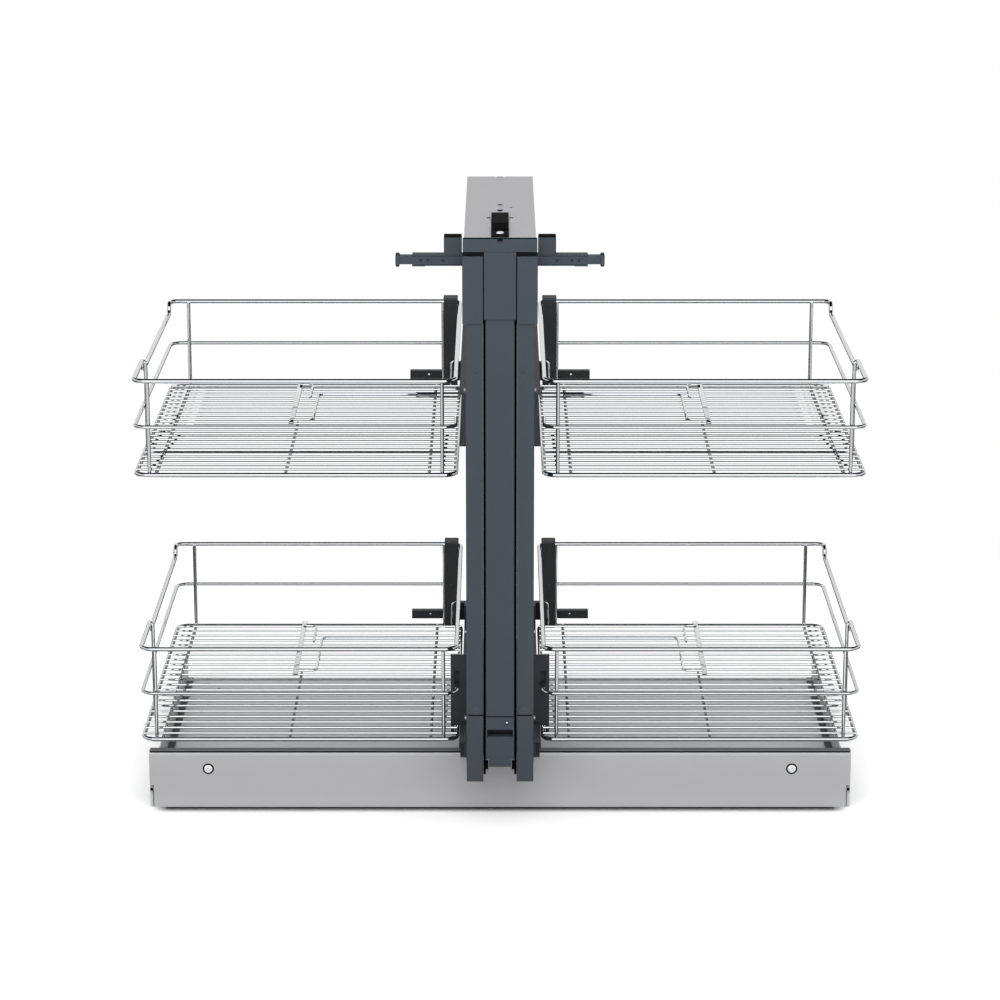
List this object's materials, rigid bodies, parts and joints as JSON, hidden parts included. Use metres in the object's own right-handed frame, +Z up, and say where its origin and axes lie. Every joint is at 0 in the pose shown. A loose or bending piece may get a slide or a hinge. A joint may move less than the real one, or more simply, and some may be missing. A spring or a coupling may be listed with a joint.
{
  "type": "blind corner pull out",
  "caption": "Corner cabinet pull-out with wire baskets hung on two sliding side frames either side of a central column, over a sheet steel floor tray.",
  "frame": {"origin": "middle of the bounding box at floor level", "axes": "+X to the viewer's right, +Y to the back of the cabinet, +Z up"},
  "size_m": [0.8502, 0.544, 0.704],
  "materials": {
    "grey_sheet": "satin",
    "anthracite_coat": "satin",
    "black_plastic": "matte",
    "chrome_wire": "polished",
    "zinc_runner": "zinc plated",
    "bright_screw": "bright"
  },
  "bodies": {
    "root": {"base_pan": "grey_sheet", "front_panel": "grey_sheet", "panel_screws": "bright_screw", "edge_strips": "black_plastic", "lower_cover": "black_plastic", "lower_beam": "anthracite_coat", "upper_beam": "anthracite_coat", "lower_fixed_runners": "zinc_runner", "upper_channel": "grey_sheet", "upper_fixed_runners": "zinc_runner", "channel_cap": "anthracite_coat", "channel_strap": "black_plastic", "strap_screw": "bright_screw", "middle_post": "anthracite_coat", "middle_sleeve": "anthracite_coat", "foot_bracket": "anthracite_coat", "foot_screw": "black_plastic"},
    "left_carriage": {"left_runner_block": "black_plastic", "left_cross_rail": "anthracite_coat", "left_upper_runner": "zinc_runner", "left_lower_runner": "zinc_runner"},
    "left_runner_middle": {"left_upper_runner_middle": "zinc_runner", "left_lower_runner_middle": "zinc_runner"},
    "left_frame": {"left_post": "anthracite_coat", "left_sleeve": "anthracite_coat", "left_cross_slider": "anthracite_coat", "left_slider_cap": "black_plastic", "left_upper_rail": "anthracite_coat", "left_lower_rail": "anthracite_coat", "left_front_bracket": "anthracite_coat", "left_upper_hanger": "anthracite_coat", "left_lower_hanger": "anthracite_coat", "left_support_arms": "anthracite_coat", "left_upper_basket_frame": "chrome_wire", "left_upper_basket_floor": "chrome_wire", "left_lower_basket_frame": "chrome_wire", "left_lower_basket_floor": "chrome_wire"},
    "right_carriage": {"right_runner_block": "black_plastic", "right_cross_rail": "anthracite_coat", "right_upper_runner": "zinc_runner", "right_lower_runner": "zinc_runner"},
    "right_runner_middle": {"right_upper_runner_middle": "zinc_runner", "right_lower_runner_middle": "zinc_runner"},
    "right_frame": {"right_post": "anthracite_coat", "right_sleeve": "anthracite_coat", "right_cross_slider": "anthracite_coat", "right_slider_cap": "black_plastic", "right_upper_rail": "anthracite_coat", "right_lower_rail": "anthracite_coat", "right_front_bracket": "anthracite_coat", "right_upper_hanger": "anthracite_coat", "right_lower_hanger": "anthracite_coat", "right_support_arms": "anthracite_coat", "right_upper_basket_frame": "chrome_wire", "right_upper_basket_floor": "chrome_wire", "right_lower_basket_frame": "chrome_wire", "right_lower_basket_floor": "chrome_wire"}
  },
  "joints": [
    {"name": "left_pull", "type": "slide", "parent": "root", "child": "left_carriage", "axis": [0, -1, 0], "range_m": [0, 0.34]},
    {"name": "left_runner_stage", "type": "slide", "parent": "root", "child": "left_runner_middle", "axis": [0, -1, 0], "range_m": [0, 0.17]},
    {"name": "left_shift", "type": "slide", "parent": "left_carriage", "child": "left_frame", "axis": [-1, 0, 0], "range_m": [0, 0.045]},
    {"name": "right_pull", "type": "slide", "parent": "root", "child": "right_carriage", "axis": [0, -1, 0], "range_m": [0, 0.34]},
    {"name": "right_runner_stage", "type": "slide", "parent": "root", "child": "right_runner_middle", "axis": [0, -1, 0], "range_m": [0, 0.17]},
    {"name": "right_shift", "type": "slide", "parent": "right_carriage", "child": "right_frame", "axis": [1, 0, 0], "range_m": [0, 0.045]}
  ],
  "couplings": [
    {"joint": "left_runner_stage", "follows": "left_pull", "ratio": 0.5},
    {"joint": "right_runner_stage", "follows": "right_pull", "ratio": 0.5}
  ]
}
